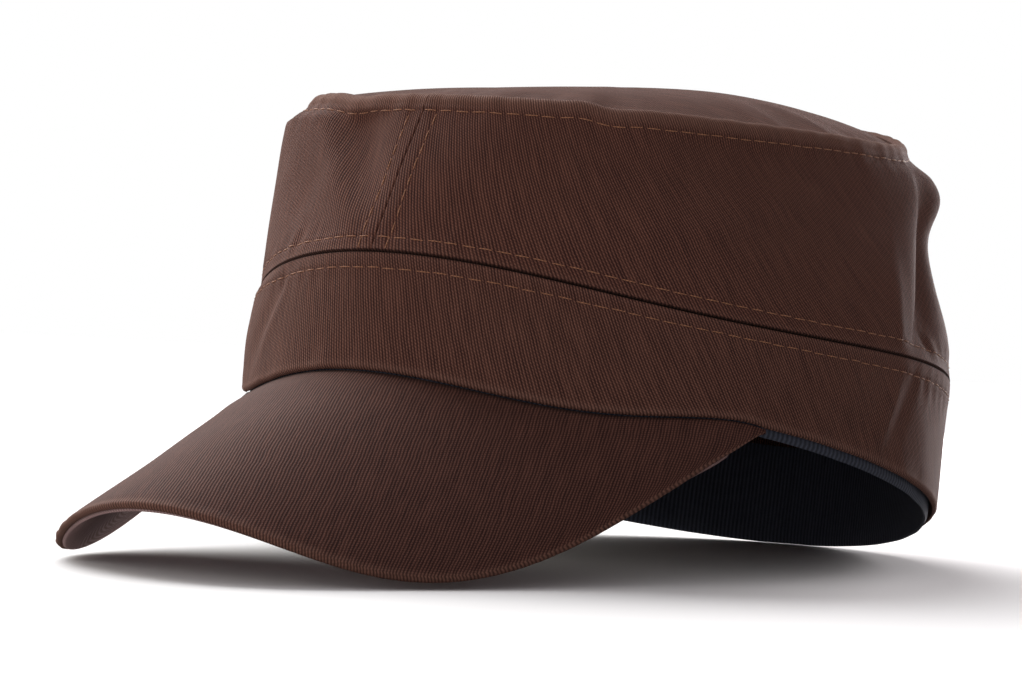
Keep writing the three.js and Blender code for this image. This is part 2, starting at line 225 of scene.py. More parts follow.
def relief(rows, angle, share):
    total = 0.0
    for foot, top, middle, reach, *spreads, depth in rows:
        past = wrapped(angle - foot - (top - foot) * share)
        spread = np.where(past < 0, spreads[0], spreads[-1])
        total += depth * bell(past, spread) * bell(share - middle, reach)
    return total


def sewn_fade(share):
    """Folds die out where a cloth is sewn down, at both of its edges."""
    return smooth(share, 0, 0.15) * smooth(1 - share, 0, 0.1)


def ripple(angle, waves, seed):
    """Uneven small waves that close on themselves all round the head."""
    draw = np.random.default_rng(seed)
    counts = np.round(waves * draw.uniform(0.65, 1.4, 6))
    phases = draw.uniform(0, 2 * np.pi, 6)
    return sum(np.sin(np.radians(angle) * c + p) for c, p in zip(counts, phases)) / 2.5


def slump(angle, share, seed):
    """Slow, soft unevenness over a whole cloth, from about -1 to 1."""
    draw = np.random.default_rng(seed)
    total = 0
    for _ in range(9):
        count, rows = draw.integers(3, 15), draw.uniform(0.4, 2.2)
        phase, lean = draw.uniform(0, 2 * np.pi, 2)
        total += np.sin(np.radians(angle) * count + phase) * np.sin(np.pi * share * rows + lean)
    return total / 4.5


print("folds:", len(BIG_FOLDS) + len(SMALL_FOLDS), " creases:", len(BAND_CREASES) + len(SMALL_CREASES))

# %% [markdown]
# ## Sewn edges
#
# A topstitched seam has a profile of its own. The two cloths turn down into the seam line, the turned
# in allowance makes them thick beside it, and the stitch row pulls a narrow trench into the surface at
# the end of that thick part. The profile is a height over the distance from the seam, and rows of the
# mesh are laid close together there so that it is real geometry.

# %% The profile beside a seam
# NEAR_SEAM holds the distances, in mm, at which the mesh has a row or a column beside a seam
STITCH_OFF = 3.7
NEAR_SEAM = np.array((0, 0.08, 0.2, 0.4, 0.65, 0.95, 1.3, 1.7, 2.1, 2.5, 2.85, 3.1, 3.3, 3.5,
                      3.7, 3.9, 4.1, 4.35, 4.7, 5.2, 5.9, 6.7))
STITCH_STEP = int(np.argmin(np.abs(NEAR_SEAM - STITCH_OFF)))
SEAM_DEPTH = 1.2


def seam_bottom(angle):
    """The line deep in the groove where crown and band are joined."""
    return seam_line(angle) - outward(angle) * SEAM_DEPTH


def rim_bottom(angle):
    """The line deep in the groove where the rim and the top are joined."""
    return rim_line(angle, RIM_ROLL + RIM_LIP) - (0, 0, LIP_SINK + SEAM_DEPTH)


def turned_edge(distance, radius):
    """How far a cloth sinks where it is turned in at its edge."""
    inside = np.clip(radius - distance, 0, radius)
    return radius - np.sqrt(radius ** 2 - inside ** 2)


def sewn_height(distance, raised=0.2, trench=0.2, radius=0.5, slit=1.0):
    thick = raised * (1 - smooth(distance, STITCH_OFF - 0.2, STITCH_OFF + 1.9))
    edge = turned_edge(distance, radius) + slit * (1 - smooth(distance, 0.02, 0.34))
    return thick - trench * bell(distance - STITCH_OFF, 0.55) - edge


heights = sewn_height(np.array((0, 1.8, STITCH_OFF))).round(2)
print("height at the seam, between and at the stitches:", heights)

# %% [markdown]
# ## From a flat grid to a cloth
#
# Each cloth starts as Blender's grid, one flat sheet with enough columns and rows. Its points are then
# moved to the piece's formula, which is how a curved sheet of soft goods is shaped exactly. The sheet's
# UV map holds real distances in metres, sheared so that the weave leans as it does on a curved panel.
# A Solidify modifier gives it its wall, thinner where an edge is turned in.

# %% Make, place and thicken a cloth
CROWN_WALL, BAND_WALL, TAPE_WALL = 1.4, 1.8, 1.3
TURNED_IN = 2.6
SHARP_ANGLE = math.radians(50)
MEETING_GAP = 0.000002
FRONT_LEAN, LEAN_SWING, LEAN_RATE = 15.5, 24, 0.33


def select_only(piece):
    bpy.ops.object.select_all(action="DESELECT")
    piece.select_set(True)
    bpy.context.view_layer.objects.active = piece


def lay_uv(mesh, weave):
    """Write a UV map, given in mm for each point of the mesh."""
    corner = np.empty(len(mesh.loops), int)
    mesh.loops.foreach_get("vertex_index", corner)
    mesh.uv_layers.active.data.foreach_set("uv", (weave[corner] * MM).ravel())


def edit_whole(operator, **options):
    """Run one mesh operator on the whole active cloth."""
    bpy.ops.object.mode_set(mode="EDIT")
    bpy.ops.mesh.select_all(action="SELECT")
    operator(**options)
    bpy.ops.object.mode_set(mode="OBJECT")


def thin_ends(up):
    """The wall's share at each row of a cloth that is turned in at its foot and at its top."""
    return 0.3 + 0.7 * smooth(up, 0, TURNED_IN) * smooth(up[-1] - up, 0, TURNED_IN)


def make_cloth(name, points, weave, wear_and_seam_shade, closed=True, wall=0, shares=()):
    """A grid moved to its points, in mm. weave is its UV map. The next argument is 1 where the cloth is
    faded by wear and -1 where painted shade darkens it deep in a seam or under the hem, closed joins
    points that meet, shares are the wall's shares row by row."""
    columns, rows = points.shape[:2]
    bpy.ops.object.select_all(action="DESELECT")
    bpy.ops.mesh.primitive_grid_add(x_subdivisions=columns - 1, y_subdivisions=rows - 1, size=1)
    cloth = bpy.context.object
    cloth.name = cloth.data.name = name
    mesh = cloth.data
    flat = np.empty(len(mesh.vertices) * 3)
    mesh.vertices.foreach_get("co", flat)
    column = np.rint((flat[0::3] + 0.5) * (columns - 1)).astype(int)
    row = np.rint((flat[1::3] + 0.5) * (rows - 1)).astype(int)
    mesh.vertices.foreach_set("co", settled(points[column, row]).ravel())
    lay_uv(mesh, weave[column, row])
    # the attribute holds wear above 0 and painted shade below 0, deep in the seams and under the hem
    surface_marks = mesh.attributes.new("wear_and_seam_shade", "FLOAT", "POINT")
    surface_marks.data.foreach_set("value", np.broadcast_to(wear_and_seam_shade, (columns, rows))[column, row].ravel())
    mesh.update()
    group = cloth.vertex_groups.new(name="wall")
    for index, share in enumerate(shares):
        group.add(np.flatnonzero(row == index).tolist(), float(share), "REPLACE")
    if closed:
        edit_whole(bpy.ops.mesh.remove_doubles, threshold=MEETING_GAP)
    if wall:
        solid = cloth.modifiers.new("wall", "SOLIDIFY")
        solid.thickness = wall * MM
        solid.offset = -1
        solid.vertex_group = "wall"
        solid.thickness_vertex_group = 0.0
        bpy.ops.object.modifier_apply(modifier="wall")
    cloth.vertex_groups.clear()
    return cloth


def finish_cloth(cloth, node):
    select_only(cloth)
    bpy.ops.object.shade_smooth_by_angle(angle=SHARP_ANGLE)
    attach(cloth, "root")
    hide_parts(node)
    print(cloth.name, "faces:", len(cloth.data.polygons), " replaces:", node)


def rows_between(low, high, count):
    """Even rows between the last of the low ones and the first of the high ones."""
    shares = np.linspace(0, 1, count + 2)[1:-1]
    return low[:, -1:] + (high[:, :1] - low[:, -1:]) * shares


def facing_out(points, ring=False):
    """Unit normals of a grid of points, whose columns run to the right and rows up, from outside."""
    wide = np.concatenate((points[-2:-1], points, points[1:2])) if ring else points
    across = np.gradient(wide, axis=0)
    across = across[1:-1] if ring else across
    return unit(np.cross(across, np.gradient(points, axis=1)))


def weave_lean(angle):
    """The weave's lean from the vertical, in degrees, which turns as the curved panels go round."""
    return FRONT_LEAN + LEAN_SWING * np.tanh(wrapped(angle) * LEAN_RATE / LEAN_SWING)


def leaning_weave(angle, up, radius, level):
    """The UV map of a cloth round the head, sheared about one level so that its weave leans."""
    shear = np.tan(np.radians(weave_lean(angle))) * (up - level)
    return joined(np.radians(angle) * radius + shear, up)


print("weave leans", weave_lean(np.array((-60.0, 0.0, 60.0))).round(1), "degrees")

# %% [markdown]
# ## The side crown
#
# Two curved panels make the side of the crown. They meet in a seam at the front and one at the back,
# rise from the band, and roll over a firm edge at the top, where the flat top is sewn in. Each half is
# one grid. Its columns keep a fixed distance beside the front and back seams, and its rows keep one
# beside the band and the rim, because that is where the stitching lies.

# %% The crown's section, from the band seam up and over the rim
NEAR_RIM = np.array((0, 0.3, 0.6, 0.9, 1.2, 1.4, 1.6, 1.8, 2.0, 2.2, 2.5, 2.9, 3.4, 4.1, 5.0))
RIM_STITCH = 1.8
ROLL_ARC = RIM_ROLL * math.pi / 2
MIDDLE_ROWS = 56
ROLL_ROWS = 9
LIP_STEPS = np.array((0.4, 0.75, 0.92, 1.0))
CROWN_BULGE = 0.7


def crown_height(angle):
    return np.linalg.norm(rim_line(angle) - (0, 0, RIM_ROLL) - seam_line(angle), axis=-1)


def crown_rows(height):
    """How far up the section each row of a column lies, in mm from the band seam."""
    low = np.broadcast_to(NEAR_SEAM, (len(height), len(NEAR_SEAM)))
    high = height[:, None] - NEAR_RIM[::-1]
    middle = rows_between(low, high, MIDDLE_ROWS)
    roll = height[:, None] + ROLL_ARC * np.linspace(0, 1, ROLL_ROWS + 1)[1:]
    lip = height[:, None] + ROLL_ARC + RIM_LIP * LIP_STEPS
    return np.concatenate((low, middle, high, roll, lip), axis=1)


def crown_surface(angle, up):
    height = crown_height(angle)
    share = np.clip(up / height, 0, 1)
    push = CROWN_BULGE * np.sin(np.pi * share) + relief(BIG_FOLDS, angle, share) * sewn_fade(share)
    wall = lerp(seam_line(angle), rim_line(angle) - (0, 0, RIM_ROLL), share)
    wall = wall + outward(angle) * push[..., None]
    turn = np.clip((up - height) / ROLL_ARC, 0, 1) * np.pi / 2
    roll = rim_line(angle, RIM_ROLL * (1 - np.cos(turn)))
    roll = roll - (RIM_ROLL * (1 - np.sin(turn)))[..., None] * (0, 0, 1)
    over = np.clip((up - height - ROLL_ARC) / RIM_LIP, 0, 1)
    lip = rim_line(angle, RIM_ROLL + RIM_LIP * over) - (LIP_SINK * over)[..., None] * (0, 0, 1)
    surface = np.where((up <= height)[..., None], wall, roll)
    return np.where((up > height + ROLL_ARC)[..., None], lip, surface)


print("crown height at front, side and back:", crown_height(np.array((0.0, 90.0, 180.0))).round(1))

# %% The crown's fine relief
# heights, distances and spreads are in mm
def crown_relief(angle, up, points):
    height = crown_height(angle)
    share = np.clip(up / height, 0, 1)
    from_seam = np.abs(points[..., 0])
    to_rim = height - up
    end = height + ROLL_ARC + RIM_LIP - up
    fine = (relief(SMALL_FOLDS, angle, share) + 0.5 * slump(angle, share, 11)) * sewn_fade(share)
    fine += sewn_height(up)
    joined_side = sewn_height(from_seam, raised=0.16, trench=0.16, radius=0.35, slit=0.1)
    fine += joined_side * (1 - 0.75 * smooth(up, height - 2, height + 1))
    ridge = 0.34 * smooth(-to_rim, -RIM_STITCH - 1.3, -RIM_STITCH + 0.6)
    ridge = ridge * (1 - 0.6 * smooth(up, height + ROLL_ARC, height + ROLL_ARC + RIM_LIP))
    fine += ridge - 0.26 * bell(to_rim - RIM_STITCH, 0.5)
    fine = fine - turned_edge(end, 0.4) - 0.6 * (1 - smooth(end, 0.02, 0.25))
    puckers = 0.16 * ripple(angle, 72, 3) * bell(up - STITCH_OFF - 1.4, 3.0)
    gathers = 0.16 * ripple(angle, 58, 5) * bell(to_rim - 0.8, 4.5)
    return fine + puckers + gathers


def crown_wear_and_seam_shade(angle, up):
    """The cloth is lighter with wear along the rim and on the thick edges of the seams, and darker with
    painted shade deep in the band seam.
    """
    height = crown_height(angle)
    rim = 0.7 * bell(up - height - 0.6 * ROLL_ARC, 2.0)
    edges = 0.15 * bell(up - 0.9, 0.6) + 0.15 * bell(height - up - 0.2, 1.2)
    return rim + edges - 0.95 * bell(up, 0.42)


CROWN_MIDDLE_COLUMNS = 206
MEAN_HALF_WIDTH = 74
CROWN_TAPER, CROWN_LEVEL = 0.92, 24


def crown_half(name, side):
    near = np.degrees(np.arcsin(NEAR_SEAM / MEAN_HALF_WIDTH))
    middle = np.linspace(near[-1], 180 - near[-1], CROWN_MIDDLE_COLUMNS + 2)[1:-1]
    base = np.concatenate((near, middle, 180 - near[::-1]))
    up = crown_rows(crown_height(side * base))
    share = np.clip(up / crown_height(side * base)[:, None], 0, 1)
    half_width = SEAM_WIDTH / 2 + (RIM_WIDTH - SEAM_WIDTH) / 2 * share
    angle = np.broadcast_to(base[:, None], up.shape).copy()
    count = len(NEAR_SEAM)
    angle[:count] = np.degrees(np.arcsin(NEAR_SEAM[:, None] / half_width[:count]))
    angle[-count:] = 180 - np.degrees(np.arcsin(NEAR_SEAM[::-1, None] / half_width[-count:]))
    angle = side * angle
    if side < 0:
        angle, up = angle[::-1], up[::-1]
    points = crown_surface(angle, up)
    points = points + facing_out(points) * crown_relief(angle, up, points)[..., None]
    points[:, 0] = seam_bottom(angle[:, 0])
    points[:, -1] = rim_bottom(angle[:, -1])
    points[..., 0] = side * np.maximum(side * points[..., 0], 0)
    points[[0, -1], :, 0] = 0
    weave = leaning_weave(angle, up, MEAN_RADIUS * CROWN_TAPER, CROWN_LEVEL)
    shares = thin_ends(up[len(up) // 2])
    return make_cloth(name, points, weave, crown_wear_and_seam_shade(angle, up), False, CROWN_WALL, shares), points


crown_left, left_points = crown_half("crown_cloth_left", 1)
finish_cloth(crown_left, "crown_left")
crown_right, right_points = crown_half("crown_cloth_right", -1)
finish_cloth(crown_right, "crown_right")

# %% [markdown]
# ## The band
#
# The band is a plain strip round the head, sewn to the crown above, folded at its hem below and closed
# by one seam at the back. Its grid starts and ends at that back seam, and one column stands exactly at
# each end of the peak, where the hem has a slight corner.

# %% Build the band
BAND_MIDDLE_COLUMNS = 470
HEM_STEPS = np.array((0, 0.08, 0.2, 0.4, 0.7, 1.1, 1.6, 2.2))
BAND_MIDDLE_ROWS = 18
BAND_LEVEL = 12


def with_corners(columns):
    """The same columns, with the nearest one moved to each end of the peak."""
    for corner in (-PEAK_SPREAD, PEAK_SPREAD):
        columns[np.argmin(np.abs(columns - corner))] = corner
    return columns


def band_relief(angle, up, points):
    drop = band_drop(angle)
    share = up / drop
    behind = np.abs(wrapped(angle)) > 90
    from_seam = np.where(behind, np.abs(points[..., 0]), 99)
    fine = relief(SMALL_CREASES, angle, share) * sewn_fade(share)
    fine += 0.3 * slump(angle, share, 21) * smooth(share, 0, 0.2) * smooth(1 - share, 0, 0.15)
    fine += sewn_height(drop - up) - turned_edge(up, 1.1)
    fine += sewn_height(from_seam, raised=0.16, trench=0.16, radius=0.4, slit=0.6)
    puckers = 0.09 * ripple(angle, 76, 9) * bell(drop - up - STITCH_OFF - 1.6, 3.2)
    return fine + puckers + 0.12 * ripple(angle, 40, 12) * bell(up - 1, 3)


def band_cloth():
    near = np.degrees(np.arcsin(NEAR_SEAM / (SEAM_WIDTH / 2)))
    middle = np.linspace(near[-1] - 180, 180 - near[-1], BAND_MIDDLE_COLUMNS + 2)[1:-1]
    columns = with_corners(np.concatenate((near - 180, middle, 180 - near[::-1])))
    drop = band_drop(columns)[:, None]
    low = np.broadcast_to(HEM_STEPS, (len(drop), len(HEM_STEPS)))
    high = drop - NEAR_SEAM[::-1]
    up = np.concatenate((low, rows_between(low, high, BAND_MIDDLE_ROWS), high), axis=1)
    angle = np.broadcast_to(columns[:, None], up.shape)
    push = relief(BAND_CREASES, angle, up / drop) * sewn_fade(up / drop)
    points = lerp(hem_line(angle), seam_line(angle), up / drop) + outward(angle) * push[..., None]
    points = points + facing_out(points, ring=True) * band_relief(angle, up, points)[..., None]
    points[:, -1] = seam_bottom(columns)
    points[[0, -1], :, 0] = 0
    points[-1] = points[0]
    weave = leaning_weave(angle, up, MEAN_RADIUS, BAND_LEVEL)
    below = drop - up
    # wear lightens the cloth by the hem and by the seam, and painted shade darkens it deep in the seam
    # with the crown
    wear_and_seam_shade = 0.45 * bell(up - 0.9, 0.8) + 0.15 * bell(below - 0.9, 0.6) - 0.95 * bell(below, 0.42)
    shares = thin_ends(up[len(up) // 2])
    return make_cloth("band_cloth", points, weave, wear_and_seam_shade, True, BAND_WALL, shares), points


band, band_points = band_cloth()
finish_cloth(band, "band")

# %% [markdown]
# ## The flat top
#
# The top is an oval panel, set just inside the rim and domed a little by the head below it. Its grid is
# bent into a disc: the first row is the edge, the last row is a single point in the middle, whose
# copies are merged.

# %% Build the top
TOP_COLUMNS = 321
TOP_EDGE_STEPS = np.array((0, 0.08, 0.2, 0.4, 0.7, 1.1, 1.7, 2.5))
TOP_MIDDLE_ROWS = 44
TOP_DOME = 9


def top_surface(angle, share):
    edge = rim_line(angle, RIM_ROLL + RIM_LIP + 0.02)
    middle = np.array((0, -RIM_FORWARD, (RIM_FRONT + RIM_BACK) / 2))
    level = RIM_FRONT + (RIM_BACK - RIM_FRONT) * ((edge[..., 1] + RIM_FORWARD) / RIM_LENGTH + 0.5)
    uneven = edge[..., 2] - level
    height = TOP_DOME * (1 - share ** 3) + uneven * (share ** 3 - share) - LIP_SINK
    return lerp(middle + 0 * edge, edge, share) + height[..., None] * (0, 0, 1)


def top_cloth():
    columns = np.linspace(-180, 180, TOP_COLUMNS)
    radius = np.linalg.norm(rim_line(columns)[:, :2] + (0, RIM_FORWARD), axis=-1)[:, None]
    low = np.broadcast_to(TOP_EDGE_STEPS, (TOP_COLUMNS, len(TOP_EDGE_STEPS)))
    shares = np.linspace(0, 1, TOP_MIDDLE_ROWS + 1)[1:]
    from_edge = np.concatenate((low, low[:, -1:] + (radius - low[:, -1:]) * shares), axis=1)
    share = 1 - from_edge / radius
    angle = np.broadcast_to(columns[:, None], share.shape)
    points = top_surface(angle, share)
    fine = -turned_edge(from_edge, 0.6) - 0.6 * (1 - smooth(from_edge, 0.02, 0.25))
    fine += 0.16 * ripple(angle, 52, 31) * bell(from_edge - 2, 7)
    fine += 0.22 * ripple(angle, 17, 32) * bell(from_edge - 8, 14)
    x, y = points[..., 0] / 30, points[..., 1] / 30
    swell = np.sin(x * 1.9 + 1.1 * np.sin(y * 1.3 + 0.4))
    fine += 0.5 * swell * smooth(from_edge, 0, 18)
    points = points + facing_out(points, ring=True) * fine[..., None]
    points[:, 0] = rim_bottom(columns)
    points[-1] = points[0]
    points[:, -1] = points[0, -1]
    x, y = points[..., 0], points[..., 1]
    weave = joined(0.83 * y - 0.56 * x, 0.83 * x + 0.56 * y)
    shares = 0.3 + 0.7 * smooth(from_edge[0], 0, TURNED_IN)
    return make_cloth("top_cloth", points, weave, 0.4 * bell(from_edge, 2.5), True, CROWN_WALL, shares)


top = top_cloth()
finish_cloth(top, "top_panel")

# %% [markdown]
# ## The peak
#
# A curved board is covered by two cloths. The upper one wraps round the edge of the board and ends
# underneath, and the lower one faces it, a little short of the edge. Both are closed plates with a
# rounded edge: the rows run along the top, round the edge, back underneath and up to the start again.

# %% The peak's surface and the outline of its edge
PEAK_LENGTH, PEAK_END = 76.5, 3
PEAK_TIP, TIP_REACH = 0.8, 0.9
TIP_SLOPES = -43.7, -30
PEAK_LEAN = math.radians(21.8)
TUCK_IN = 1.2
BOARD, FACING = 1.7, 1.1
PEAK_SLOPE, PEAK_CURL = 32.3, 22.6
SEWN_GAP = 0.3


def peak_reach(share):
    side = np.minimum(np.abs(share), PEAK_TIP)
    fullness = (1 - side ** 6) ** 2.13
    reach = PEAK_END + (PEAK_LENGTH - PEAK_END) * fullness
    past = np.clip((np.abs(share) - PEAK_TIP) / (1 - PEAK_TIP), 0, 1)
    near = reach * (1 + 2 * past) + TIP_SLOPES[0] * past
    far = TIP_REACH * (3 - 2 * past) - TIP_SLOPES[1] * (1 - past)
    return near * (1 - past) ** 2 + far * past ** 2


def peak_fall(share):
    return np.radians(PEAK_SLOPE + PEAK_CURL * share ** 2)


def peak_surface(share, part, depth):
    """share runs across the peak from -1 to 1, part from the hem to the edge, depth is below the top."""
    fall = peak_fall(share)
    steep = np.maximum(np.cos(fall), 0.45)
    forward, square, straight = (
        joined(0 * fall, back, up) for back, up in (
            (-np.cos(fall), -np.sin(fall)), (np.sin(fall), -np.cos(fall)), (0 * fall, -1 / steep)))
    down = lerp(straight, square, smooth(part, 0, 0.2) * 0.85)
    along = part * peak_reach(share)
    below = down * np.asarray(depth)[..., None]
    tuck = TUCK_IN * (1 - smooth(along, 0, 10))
    return hem_line(share * PEAK_SPREAD, tuck) - (0, 0, SEWN_GAP) + forward * along[..., None] + below


def peak_root(share, depth):
    steep = np.maximum(np.cos(peak_fall(share)), 0.45)
    return hem_line(share * PEAK_SPREAD, 2.0) - (SEWN_GAP + depth / steep)[..., None] * (0, 0, 1)


print("the peak's length in the middle:", peak_reach(np.array(0.0)))

# %% Lay the peak flat, to see how its weave runs
def third_corner(first, second, from_first, from_second, side):
    base = second - first
    length = np.linalg.norm(base)
    along = (from_first ** 2 - from_second ** 2 + length ** 2) / (2 * length)
    high = math.sqrt(max(from_first ** 2 - along ** 2, 0))
    return first + base / length * along + side * high * np.array((-base[1], base[0])) / length


def laid_flat(inner, outer):
    """Unroll the strip between two lines of points, triangle by triangle, from its middle."""
    gap = lambda a, b: float(np.linalg.norm(a - b))
    middle = len(inner) // 2
    near, far = np.zeros((len(inner), 2)), np.zeros((len(inner), 2))
    far[middle, 1] = gap(inner[middle], outer[middle])
    for step, stop in ((1, len(inner)), (-1, -1)):
        for here in range(middle + step, stop, step):
            last = here - step
            reach = gap(inner[here], inner[last]), gap(inner[here], outer[last])
            near[here] = third_corner(near[last], far[last], *reach, step)
            reach = gap(inner[here], outer[here]), gap(outer[here], outer[last])
            far[here] = third_corner(near[here], far[last], *reach, step)
    return near, far


# %% Build a plate of the peak
def peak_plate(name, ends, inset, depth, thickness, counts, pucker):
    """counts are the columns, and the rows on the top, round the edge and underneath."""
    columns, top_rows, edge_rows, low_rows = counts
    even = np.linspace(-1, 1, columns)
    share = (0.35 * np.sin(even * np.pi / 2) + 0.65 * even)[::-1] * ends
    full = smooth((peak_reach(share) - PEAK_END) / 16, 0, 1)
    thickness = thickness * (0.3 + 0.7 * full)
    depth = depth * (0.3 + 0.7 * full)
    radius = thickness / 2
    at = lambda part, below: peak_surface(share, part + 0 * share, below + 0 * share)
    edge, inner = at(1, depth), at(0.97, depth)
    along_edge = unit(np.gradient(edge, axis=0))
    up = unit(np.cross(inner - edge, along_edge))
    up = up * np.sign(up[:, 2:3])
    away = unit(np.cross(along_edge, up))
    away = away * np.sign(np.sum(away * (edge - inner), axis=-1, keepdims=True))
    arc = arc_length(edge)
    wave = np.sin(arc / 0.83) * np.sin(arc / 2.9 + 1) + 0.7 * np.sin(arc / 1.31 + 2)
    wave = pucker * full * (0.35 + 1.2 * bell(share + 0.62, 0.3)) * wave
    start = edge - away * (inset * full + radius)[:, None]
    centre = start - up * radius[:, None]
    rows, wear_and_seam_shade = [], []
    for part in np.linspace(0, 1, top_rows):
        pulled = smooth(part, 0.55, 1.0) ** 2
        lift = up * (wave * bell(part - 1, 0.03))[:, None]
        rows.append(at(part, depth) + (start - edge) * pulled + lift)
        # wear lightens the rolled edge, and painted shade darkens the cloth where it goes under the hem
        wear_and_seam_shade.append(0.5 * bell(part - 1, 0.02) - 0.8 * bell(part, 0.016))
    for turn in np.linspace(0, np.pi, edge_rows + 2)[1:-1]:
        ring = up * math.cos(turn) + away * math.sin(turn)
        rows.append(centre + ring * (radius + wave * (1 + math.cos(turn)) / 2)[:, None])
        wear_and_seam_shade.append(0.5)
    under = start - up * thickness[:, None]
    below = depth + thickness
    for part in np.linspace(1, 0, low_rows):
        pulled = smooth(part, 0.55, 1.0) ** 2
        rows.append(at(part, below) + (under - at(1, below)) * pulled)
        wear_and_seam_shade.append(0.0)
    tucked = [peak_root(share, below), peak_root(share, depth)]
    points = np.stack([tucked[1]] + rows + tucked, axis=1)
    wear_and_seam_shade = np.array([0] + wear_and_seam_shade + [0, 0])
    x, y = points[..., 0], points[..., 1]
    soft = 0.16 * np.sin(x / 9 + 1.3 * np.sin(y / 13)) * np.sin(y / 11 + 0.6)
    points[:, 3:top_rows - 2, 2] += soft[:, 3:top_rows - 2]
    steps = np.linalg.norm(np.diff(points, axis=1), axis=-1)
    run = np.cumsum(np.concatenate((np.zeros((columns, 1)), steps), axis=1), axis=1)
    near, far = laid_flat(at(0, 0), at(1, 0))
    flat = near[:, None] + unit(far - near)[:, None] * (run - run[:, 1:2])[..., None]
    u, v = flat[..., 0], flat[..., 1]
    sine, cosine = math.sin(PEAK_LEAN), math.cos(PEAK_LEAN)
    weave = joined(u * cosine - v * sine, u * sine + v * cosine)
    cloth = make_cloth(name, points, weave, wear_and_seam_shade)
    edit_whole(bpy.ops.mesh.fill_holes, sides=0)
    return cloth


peak = peak_plate("peak_cloth", 1.0, 0, 0, BOARD, (241, 84, 10, 40), 0.1)
finish_cloth(peak, "peak_top")
facing = peak_plate("peak_facing", 0.93, 1.6, BOARD, FACING, (161, 56, 6, 40), 0.05)
finish_cloth(facing, "peak_underside")

# %% [markdown]
# ## The sweatband
#
# A black ribbed tape lines the band and shows as a dark edge below the hem at the sides and the back.
# It follows the band's own lines, one wall further in.

# %% Build the sweatband
SWEAT_SHOW, SWEAT_TOP_DROP, SWEAT_INSET = 2.1, 3.0, 2.1
SWEAT_COLUMNS = 361
SWEAT_ROWS = 26


def sweatband_tape():
    columns = with_corners(np.linspace(-180, 180, SWEAT_COLUMNS))
    drop = band_drop(columns)[:, None]
    share = np.linspace(0, 1, SWEAT_ROWS)
    up = -SWEAT_SHOW + (drop - SWEAT_TOP_DROP + SWEAT_SHOW) * share
    angle = np.broadcast_to(columns[:, None], up.shape)
    points = lerp(hem_line(angle), seam_line(angle), up / drop)
    inward = facing_out(points, ring=True) * (1, 1, 0)
    points = points - unit(inward) * SWEAT_INSET
    soft = 0.12 * ripple(angle, 34, 41) * bell(up, 5) - turned_edge(up + SWEAT_SHOW, 0.5)
    points = points + outward(angle) * soft[..., None]
    points[-1] = points[0]
    weave = joined(np.radians(angle) * MEAN_RADIUS, up)
    wear_and_seam_shade = 0.4 * bell(up + SWEAT_SHOW, 1.0)
    shares = 0.45 + 0.55 * smooth(up[0] + SWEAT_SHOW, 0, 1.6)
    return make_cloth("sweatband_tape", points, weave, wear_and_seam_shade, True, TAPE_WALL, shares)


sweatband = sweatband_tape()
finish_cloth(sweatband, "sweatband")

# %% [markdown]
# ## Topstitching
#
# The rows of stitches are what the eye reads first on a sewn seam. One stitch is modelled: a short,
# plump, twisted thread whose ends dive into the cloth. It is then copied along every row, each copy
# bent to the cloth below it.

# %% Model one stitch
STITCH_PITCH = 4.1
STITCH_LENGTH = 3.95
THREAD_RADIUS = 0.14
THREAD_LIFT = 0.1


def one_stitch():
    bpy.ops.object.select_all(action="DESELECT")
    bpy.ops.mesh.primitive_uv_sphere_add(segments=6, ring_count=8, radius=1)
    bead = bpy.context.object
    x, y, z = np.array([v.co for v in bead.data.vertices]).T
    along = np.arccos(np.clip(-z, -1, 1)) / np.pi
    spin = np.arctan2(y, x) + along * 2.2 * np.pi
    plump = THREAD_RADIUS * np.clip(np.sin(np.pi * along), 0, 1) ** 0.4
    strand = 1 + 0.22 * np.cos(2 * np.arctan2(y, x))
    sideways = plump * strand * np.cos(spin)
    upright = plump * strand * np.sin(spin)
    faces = [tuple(f.vertices) for f in bead.data.polygons]
    bpy.data.objects.remove(bead)
    return along, sideways, upright, faces


along, sideways, upright, stitch_faces = one_stitch()
print("one stitch has", len(stitch_faces), "faces")

# %% Sew a row of stitches along a line on the cloth
def read_along(values, arc, place):
    """Points or directions given along a line, read at other places on it."""
    return joined(*(np.interp(place, arc, values[:, k]) for k in range(3)))


def sew(name, rows, seed):
    """rows are pairs of points and normals in mm, in the cap's own frame."""
    draw = np.random.default_rng(seed)
    corners = []
    for line, normal in rows:
        arc = arc_length(line)
        for start in np.arange(draw.uniform(0.2, 0.9), arc[-1] - STITCH_LENGTH, STITCH_PITCH):
            own = STITCH_LENGTH * draw.uniform(0.92, 1.06)
            place = start + draw.uniform(-0.15, 0.15) + along * own
            spine, out = read_along(line, arc, place), unit(read_along(normal, arc, place))
            ahead = read_along(line, arc, place + 0.3) - read_along(line, arc, place - 0.3)
            side = unit(np.cross(unit(ahead), out))
            arch = THREAD_LIFT - 0.3 * (1 - np.clip(np.sin(np.pi * along), 0, 1) ** 0.35)
            wander = draw.uniform(-0.1, 0.1)
            corners.append(spine + side * (sideways + wander)[:, None] + out * (upright + arch)[:, None])
    points = settled(np.concatenate(corners))
    step = len(along)
    faces = [[v + step * k for v in face] for k in range(len(corners)) for face in stitch_faces]
    mesh = bpy.data.meshes.new(name)
    mesh.from_pydata(points.tolist(), [], faces)
    one_map = joined(along * STITCH_LENGTH, np.arctan2(upright, sideways))
    mesh.uv_layers.new(name="UVMap")
    lay_uv(mesh, np.concatenate([one_map] * len(corners)))
    row = bpy.data.objects.new(name, mesh)
    bpy.context.collection.objects.link(row)
    select_only(row)
    bpy.ops.object.shade_smooth()
    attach(row, "root")
    print(name, "stitches:", len(corners))
    return row


